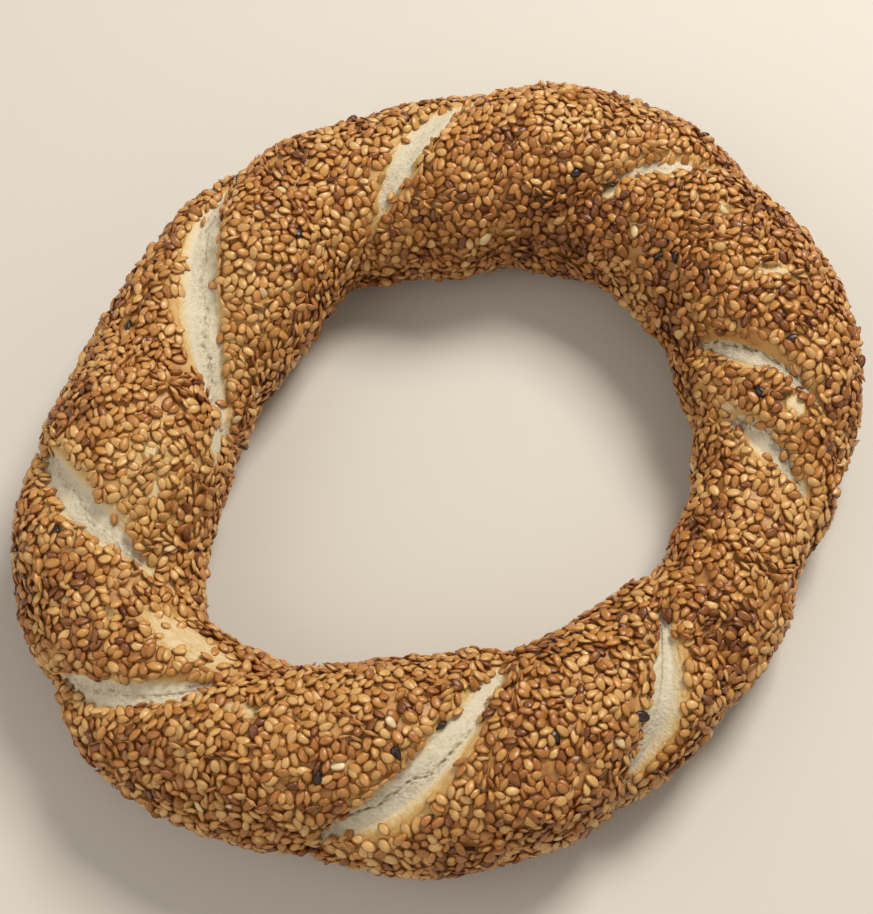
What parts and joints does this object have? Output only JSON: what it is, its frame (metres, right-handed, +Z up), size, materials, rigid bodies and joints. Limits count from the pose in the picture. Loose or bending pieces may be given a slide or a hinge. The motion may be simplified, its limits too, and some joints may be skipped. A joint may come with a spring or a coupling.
{
  "type": "simit",
  "caption": "Ring-shaped sesame bread of two twisted dough strands, torn open along its seams, lying flat on its underside.",
  "frame": {"origin": "on the surface it lies on, under the middle of its outline", "axes": "+Z up, across the ring's plane; +X and +Y lie in the plane of the ring"},
  "size_m": [0.186, 0.1848, 0.0396],
  "materials": {
    "crust": "glazed golden brown bread crust, smooth with a slight sheen, paler and golden beside the torn seams",
    "crumb": "soft creamy white bread crumb, dull, with small pores",
    "seeds": "toasted sesame seeds, light golden to deep brown, slightly glossy"
  },
  "bodies": {
    "root": {"simit": "crust"}
  },
  "joints": []
}
